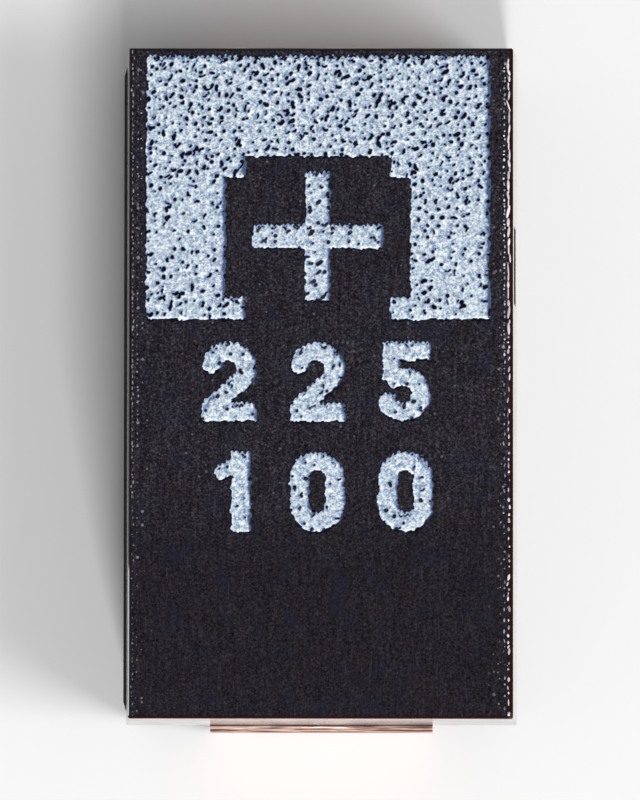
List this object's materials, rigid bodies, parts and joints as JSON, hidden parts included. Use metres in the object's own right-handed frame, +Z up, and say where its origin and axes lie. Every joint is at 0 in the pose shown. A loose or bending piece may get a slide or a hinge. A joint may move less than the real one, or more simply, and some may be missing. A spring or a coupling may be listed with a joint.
{
  "type": "moulded tantalum chip capacitor",
  "caption": "Black moulded chip capacitor with a pale polarity band on top and a folded metal terminal at each end, for soldering flat to a circuit board.",
  "frame": {"origin": "on the solder plane, midway between the two terminals and midway across the part", "axes": "+Y along the part towards the positive end with the polarity band, +X across it, +Z up from the board"},
  "size_m": [0.0042, 0.0072, 0.0028],
  "materials": {
    "case_resin": "fine matt moulded epoxy, charcoal, with a pale laser-roughened polarity band",
    "plated_strip": "tin-plated copper-alloy strip, bare warm copper along the sheared edges",
    "sintered_tantalum": "dark grey porous sinter",
    "tantalum_wire": "drawn wire, blue-grey",
    "washer_resin": "white fluoropolymer",
    "conductive_polymer": "blue-black film",
    "graphite": "matt black dip coat",
    "silver_paint": "matt silver-filled dip coat",
    "silver_glue": "dull silver-filled adhesive"
  },
  "bodies": {
    "root": {"moulded_case": "case_resin", "anode_terminal": "plated_strip", "cathode_terminal": "plated_strip", "tantalum_slug": "sintered_tantalum", "riser_wire": "tantalum_wire", "wire_washer": "washer_resin", "polymer_coat": "conductive_polymer", "graphite_coat": "graphite", "silver_coat": "silver_paint", "silver_adhesive": "silver_glue"}
  },
  "joints": []
}
